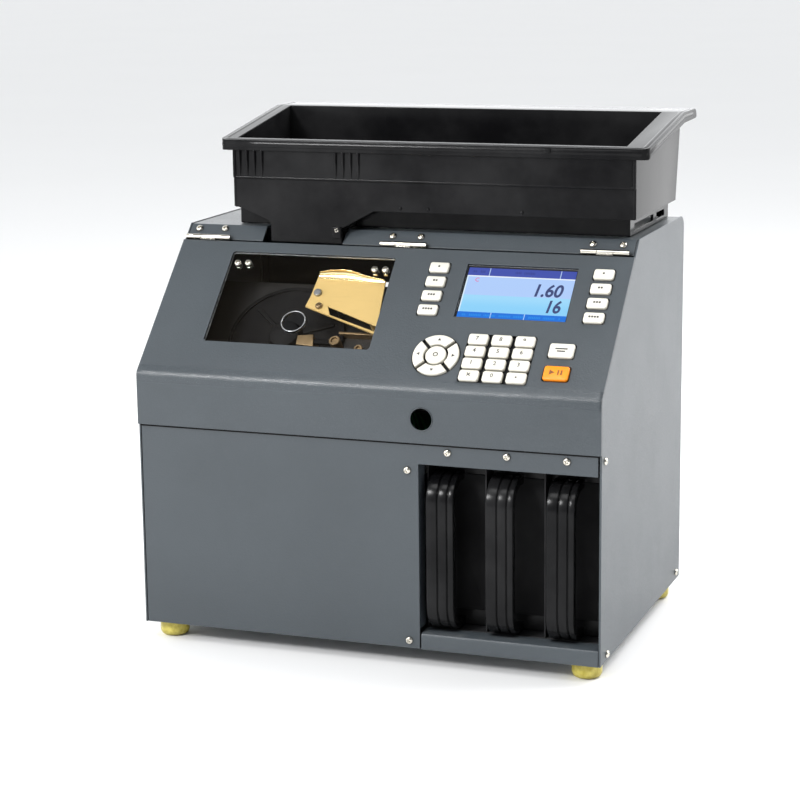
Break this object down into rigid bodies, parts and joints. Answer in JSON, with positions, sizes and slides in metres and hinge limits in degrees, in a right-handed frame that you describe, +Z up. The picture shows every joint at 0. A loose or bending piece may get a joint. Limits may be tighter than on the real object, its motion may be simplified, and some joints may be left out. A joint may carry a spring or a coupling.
{
  "type": "coin sorting machine",
  "caption": "Desktop coin sorter: sheet metal case with sloping hinged lid, window, display and keypad, coin hopper on top and pull-out cassettes at the front.",
  "frame": {"origin": "centre of the footprint, on the plane the four feet stand on", "axes": "+X to the machine's right seen from its front, +Y to its back, +Z up"},
  "size_m": [0.3796, 0.257, 0.4036],
  "materials": {
    "case_paint": "blue-grey powder coat, fine orange peel",
    "foot_rubber": "translucent yellow, satin",
    "black_plastic": "glossy black moulding",
    "black_matt_plastic": "matt black",
    "smoked_window": "smoked clear acrylic",
    "display": "glossy lit screen",
    "hinge_steel": "bright nickel plate",
    "bare_steel": "brushed",
    "dark_deck": "blackened, satin",
    "brass_plate": "satin",
    "board": "green solder mask",
    "key_ivory": "fine satin",
    "key_orange": "fine satin"
  },
  "bodies": {
    "case": {"base_tray": "case_paint", "left_side_panel": "case_paint", "right_side_panel": "case_paint", "top_panel": "case_paint", "rear_panel": "case_paint", "front_panel": "case_paint", "foot_front_left": "foot_rubber", "foot_front_right": "foot_rubber", "foot_rear_left": "foot_rubber", "foot_rear_right": "foot_rubber", "cassette_bay": "black_matt_plastic", "hopper_tray": "black_plastic", "hopper_base": "black_plastic", "sort_deck": "dark_deck", "drive_motor": "bare_steel", "guide_plate": "brass_plate", "power_inlet": "black_matt_plastic", "control_board": "board", "hinge_left_fixed_leaf": "hinge_steel", "hinge_centre_fixed_leaf": "hinge_steel", "hinge_right_fixed_leaf": "hinge_steel"},
    "lid": {"lid": "case_paint", "lid_window": "smoked_window", "display_module": "display", "keypad_mat": "black_matt_plastic", "hinge_left_lid_leaf": "hinge_steel", "hinge_centre_lid_leaf": "hinge_steel", "hinge_right_lid_leaf": "hinge_steel"},
    "cassette_left": {"coin_cassette_left": "black_plastic"},
    "cassette_middle": {"coin_cassette_middle": "black_plastic"},
    "cassette_right": {"coin_cassette_right": "black_plastic"},
    "disc": {"feed_disc": "black_matt_plastic"},
    "switch": {"power_switch": "black_plastic"},
    "key_7": {"key_7": "key_ivory"},
    "key_8": {"key_8": "key_ivory"},
    "key_9": {"key_9": "key_ivory"},
    "key_4": {"key_4": "key_ivory"},
    "key_5": {"key_5": "key_ivory"},
    "key_6": {"key_6": "key_ivory"},
    "key_1": {"key_1": "key_ivory"},
    "key_2": {"key_2": "key_ivory"},
    "key_3": {"key_3": "key_ivory"},
    "key_clear": {"key_clear": "key_ivory"},
    "key_0": {"key_0": "key_ivory"},
    "key_point": {"key_point": "key_ivory"},
    "key_left_1": {"key_left_1": "key_ivory"},
    "key_left_2": {"key_left_2": "key_ivory"},
    "key_left_3": {"key_left_3": "key_ivory"},
    "key_left_4": {"key_left_4": "key_ivory"},
    "key_right_1": {"key_right_1": "key_ivory"},
    "key_right_2": {"key_right_2": "key_ivory"},
    "key_right_3": {"key_right_3": "key_ivory"},
    "key_right_4": {"key_right_4": "key_ivory"},
    "key_arrow_right": {"key_arrow_right": "key_ivory"},
    "key_arrow_up": {"key_arrow_up": "key_ivory"},
    "key_arrow_left": {"key_arrow_left": "key_ivory"},
    "key_arrow_down": {"key_arrow_down": "key_ivory"},
    "key_enter": {"key_enter": "key_ivory"},
    "key_cancel": {"key_cancel": "key_ivory"},
    "key_start": {"key_start": "key_orange"}
  },
  "joints": [
    {"name": "lid_hinge", "type": "hinge", "parent": "case", "child": "lid", "pos_m": [-0.00475, -0.03462, 0.30808], "axis": [-1, 0, 0], "range_deg": [0, 125]},
    {"name": "cassette_left_slide", "type": "slide", "parent": "case", "child": "cassette_left", "axis": [0, -1, 0], "range_m": [0, 0.18]},
    {"name": "cassette_middle_slide", "type": "slide", "parent": "case", "child": "cassette_middle", "axis": [0, -1, 0], "range_m": [0, 0.18]},
    {"name": "cassette_right_slide", "type": "slide", "parent": "case", "child": "cassette_right", "axis": [0, -1, 0], "range_m": [0, 0.18]},
    {"name": "disc_spin", "type": "hinge", "parent": "case", "child": "disc", "pos_m": [-0.09275, -0.06183, 0.236], "axis": [0, -0.7003, 0.7139], "continuous": true},
    {"name": "switch_rock", "type": "hinge", "parent": "case", "child": "switch", "pos_m": [-0.12475, 0.1239, 0.076], "axis": [1, 0, 0], "range_deg": [0, 21.5]},
    {"name": "key_7_press", "type": "slide", "parent": "lid", "child": "key_7", "axis": [0, 0.7003, -0.7139], "range_m": [0, 0.001], "stiffness_N_per_m": 500, "springref_m": -0.0006},
    {"name": "key_8_press", "type": "slide", "parent": "lid", "child": "key_8", "axis": [0, 0.7003, -0.7139], "range_m": [0, 0.001], "stiffness_N_per_m": 500, "springref_m": -0.0006},
    {"name": "key_9_press", "type": "slide", "parent": "lid", "child": "key_9", "axis": [0, 0.7003, -0.7139], "range_m": [0, 0.001], "stiffness_N_per_m": 500, "springref_m": -0.0006},
    {"name": "key_4_press", "type": "slide", "parent": "lid", "child": "key_4", "axis": [0, 0.7003, -0.7139], "range_m": [0, 0.001], "stiffness_N_per_m": 500, "springref_m": -0.0006},
    {"name": "key_5_press", "type": "slide", "parent": "lid", "child": "key_5", "axis": [0, 0.7003, -0.7139], "range_m": [0, 0.001], "stiffness_N_per_m": 500, "springref_m": -0.0006},
    {"name": "key_6_press", "type": "slide", "parent": "lid", "child": "key_6", "axis": [0, 0.7003, -0.7139], "range_m": [0, 0.001], "stiffness_N_per_m": 500, "springref_m": -0.0006},
    {"name": "key_1_press", "type": "slide", "parent": "lid", "child": "key_1", "axis": [0, 0.7003, -0.7139], "range_m": [0, 0.001], "stiffness_N_per_m": 500, "springref_m": -0.0006},
    {"name": "key_2_press", "type": "slide", "parent": "lid", "child": "key_2", "axis": [0, 0.7003, -0.7139], "range_m": [0, 0.001], "stiffness_N_per_m": 500, "springref_m": -0.0006},
    {"name": "key_3_press", "type": "slide", "parent": "lid", "child": "key_3", "axis": [0, 0.7003, -0.7139], "range_m": [0, 0.001], "stiffness_N_per_m": 500, "springref_m": -0.0006},
    {"name": "key_clear_press", "type": "slide", "parent": "lid", "child": "key_clear", "axis": [0, 0.7003, -0.7139], "range_m": [0, 0.001], "stiffness_N_per_m": 500, "springref_m": -0.0006},
    {"name": "key_0_press", "type": "slide", "parent": "lid", "child": "key_0", "axis": [0, 0.7003, -0.7139], "range_m": [0, 0.001], "stiffness_N_per_m": 500, "springref_m": -0.0006},
    {"name": "key_point_press", "type": "slide", "parent": "lid", "child": "key_point", "axis": [0, 0.7003, -0.7139], "range_m": [0, 0.001], "stiffness_N_per_m": 500, "springref_m": -0.0006},
    {"name": "key_left_1_press", "type": "slide", "parent": "lid", "child": "key_left_1", "axis": [0, 0.7003, -0.7139], "range_m": [0, 0.001], "stiffness_N_per_m": 500, "springref_m": -0.0006},
    {"name": "key_left_2_press", "type": "slide", "parent": "lid", "child": "key_left_2", "axis": [0, 0.7003, -0.7139], "range_m": [0, 0.001], "stiffness_N_per_m": 500, "springref_m": -0.0006},
    {"name": "key_left_3_press", "type": "slide", "parent": "lid", "child": "key_left_3", "axis": [0, 0.7003, -0.7139], "range_m": [0, 0.001], "stiffness_N_per_m": 500, "springref_m": -0.0006},
    {"name": "key_left_4_press", "type": "slide", "parent": "lid", "child": "key_left_4", "axis": [0, 0.7003, -0.7139], "range_m": [0, 0.001], "stiffness_N_per_m": 500, "springref_m": -0.0006},
    {"name": "key_right_1_press", "type": "slide", "parent": "lid", "child": "key_right_1", "axis": [0, 0.7003, -0.7139], "range_m": [0, 0.001], "stiffness_N_per_m": 500, "springref_m": -0.0006},
    {"name": "key_right_2_press", "type": "slide", "parent": "lid", "child": "key_right_2", "axis": [0, 0.7003, -0.7139], "range_m": [0, 0.001], "stiffness_N_per_m": 500, "springref_m": -0.0006},
    {"name": "key_right_3_press", "type": "slide", "parent": "lid", "child": "key_right_3", "axis": [0, 0.7003, -0.7139], "range_m": [0, 0.001], "stiffness_N_per_m": 500, "springref_m": -0.0006},
    {"name": "key_right_4_press", "type": "slide", "parent": "lid", "child": "key_right_4", "axis": [0, 0.7003, -0.7139], "range_m": [0, 0.001], "stiffness_N_per_m": 500, "springref_m": -0.0006},
    {"name": "key_arrow_right_press", "type": "slide", "parent": "lid", "child": "key_arrow_right", "axis": [0, 0.7003, -0.7139], "range_m": [0, 0.001], "stiffness_N_per_m": 500, "springref_m": -0.0006},
    {"name": "key_arrow_up_press", "type": "slide", "parent": "lid", "child": "key_arrow_up", "axis": [0, 0.7003, -0.7139], "range_m": [0, 0.001], "stiffness_N_per_m": 500, "springref_m": -0.0006},
    {"name": "key_arrow_left_press", "type": "slide", "parent": "lid", "child": "key_arrow_left", "axis": [0, 0.7003, -0.7139], "range_m": [0, 0.001], "stiffness_N_per_m": 500, "springref_m": -0.0006},
    {"name": "key_arrow_down_press", "type": "slide", "parent": "lid", "child": "key_arrow_down", "axis": [0, 0.7003, -0.7139], "range_m": [0, 0.001], "stiffness_N_per_m": 500, "springref_m": -0.0006},
    {"name": "key_enter_press", "type": "slide", "parent": "lid", "child": "key_enter", "axis": [0, 0.7003, -0.7139], "range_m": [0, 0.001], "stiffness_N_per_m": 500, "springref_m": -0.0006},
    {"name": "key_cancel_press", "type": "slide", "parent": "lid", "child": "key_cancel", "axis": [0, 0.7003, -0.7139], "range_m": [0, 0.001], "stiffness_N_per_m": 500, "springref_m": -0.0006},
    {"name": "key_start_press", "type": "slide", "parent": "lid", "child": "key_start", "axis": [0, 0.7003, -0.7139], "range_m": [0, 0.001], "stiffness_N_per_m": 500, "springref_m": -0.0006}
  ]
}
